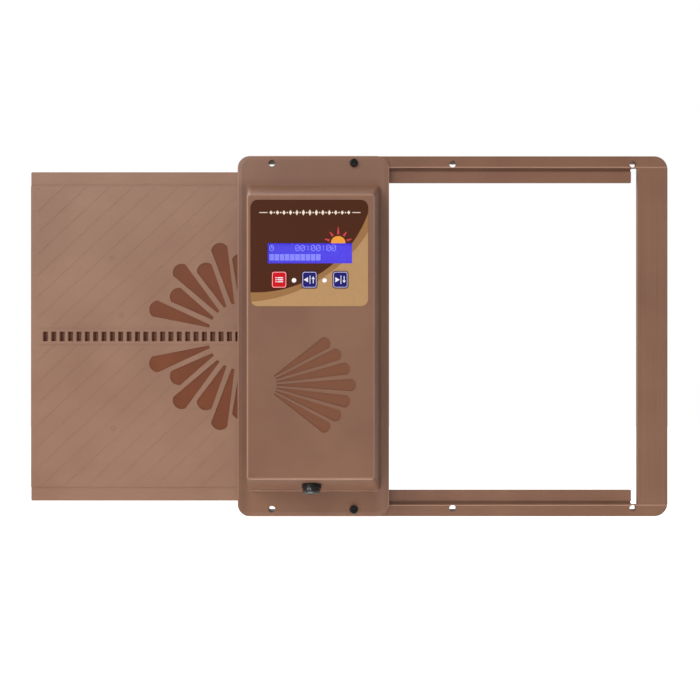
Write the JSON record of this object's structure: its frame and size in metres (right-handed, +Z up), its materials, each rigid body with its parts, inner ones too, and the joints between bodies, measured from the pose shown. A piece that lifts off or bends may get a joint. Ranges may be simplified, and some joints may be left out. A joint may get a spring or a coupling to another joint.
{
  "type": "automatic coop door",
  "caption": "Sideways-sliding poultry door in a wall frame, with a moulded rack, a pinion gearmotor and a timer control box with display and keys.",
  "frame": {"origin": "centre of the four corner wall-screw holes, in the plane of the frame's front flange", "axes": "+X is the way the door closes, -Y faces a person in front of the door, +Z up"},
  "size_m": [0.476, 0.0576, 0.268],
  "materials": {
    "frame_plastic": "satin moulded brown plastic",
    "cover_plastic": "satin moulded brown plastic",
    "back_plastic": "satin moulded brown plastic",
    "door_plastic": "satin moulded light brown plastic",
    "gasket_rubber": "matt foam rubber",
    "black_screws": "black oxide",
    "zinc_screws": "zinc plated",
    "label_film": "printed semi-gloss film",
    "window_lens": "clear acrylic",
    "bezel_metal": "black",
    "display_cell": "lit blue display",
    "light_guide": "frosted",
    "board_green": "solder mask",
    "header_black": "moulded black",
    "capacitor_sleeve": "shrink sleeve",
    "terminal_green": "moulded green",
    "cell_steel": "polished",
    "lamp_lens": "milky white",
    "key_red": "satin",
    "key_blue": "satin",
    "pinion_plastic": "natural acetal",
    "shaft_steel": "bright",
    "gearbox_steel": "nickel plated",
    "end_cap_plastic": "moulded black",
    "bracket_steel": "zinc plated sheet",
    "bush_brass": "turned",
    "socket_plastic": "moulded black",
    "cap_rubber": "matt rubber",
    "lead_red": "PVC",
    "lead_black": "PVC"
  },
  "bodies": {
    "frame": {"door_frame": "frame_plastic", "front_cover": "cover_plastic", "back_plate": "back_plastic", "cover_gasket": "gasket_rubber", "socket_seal": "gasket_rubber", "cover_screws": "black_screws", "back_screws": "zinc_screws", "board_screws": "zinc_screws", "gearbox_screws": "zinc_screws", "bracket_screws": "zinc_screws", "control_label": "label_film", "display_window": "window_lens", "display_bezel": "bezel_metal", "display_glass": "display_cell", "display_backlight": "light_guide", "display_board": "board_green", "control_board": "board_green", "display_header": "header_black", "board_chips": "header_black", "cell_holder": "header_black", "key_switches": "header_black", "board_capacitors": "capacitor_sleeve", "board_terminals": "terminal_green", "coin_cell": "cell_steel", "status_lamps": "lamp_lens", "socket_pin": "shaft_steel", "socket_tag": "shaft_steel", "motor_terminals": "shaft_steel", "socket_nut": "shaft_steel", "gearbox": "gearbox_steel", "motor_can": "gearbox_steel", "motor_end_cap": "end_cap_plastic", "motor_bracket": "bracket_steel", "shaft_bush": "bush_brass", "power_socket": "socket_plastic", "motor_leads": "lead_red", "power_leads": "lead_black"},
    "door": {"door_panel": "door_plastic"},
    "drive": {"output_shaft": "shaft_steel", "rack_pinion": "pinion_plastic", "pinion_set_screw": "shaft_steel"},
    "menu_key": {"key_menu": "key_red"},
    "open_key": {"key_open": "key_blue"},
    "close_key": {"key_close": "key_blue"},
    "socket_cap": {"socket_cap": "cap_rubber"}
  },
  "joints": [
    {"name": "door_slide", "type": "slide", "parent": "frame", "child": "door", "axis": [1, 0, 0], "range_m": [0, 0.2]},
    {"name": "pinion_spin", "type": "hinge", "parent": "frame", "child": "drive", "pos_m": [-0.09142, -0.0118, 0], "axis": [0, 0, 1], "range_deg": [-640, 0]},
    {"name": "menu_press", "type": "slide", "parent": "frame", "child": "menu_key", "axis": [0, 1, 0], "range_m": [0, 0.0005], "stiffness_N_per_m": 2000, "springref_m": -0.0002},
    {"name": "open_press", "type": "slide", "parent": "frame", "child": "open_key", "axis": [0, 1, 0], "range_m": [0, 0.0005], "stiffness_N_per_m": 2000, "springref_m": -0.0002},
    {"name": "close_press", "type": "slide", "parent": "frame", "child": "close_key", "axis": [0, 1, 0], "range_m": [0, 0.0005], "stiffness_N_per_m": 2000, "springref_m": -0.0002},
    {"name": "cap_pull", "type": "slide", "parent": "frame", "child": "socket_cap", "axis": [0, -0.3639, -0.9314], "range_m": [0, 0.015]}
  ],
  "couplings": [
    {"joint": "pinion_spin", "follows": "door_slide", "rad_per_m": -55.556}
  ]
}
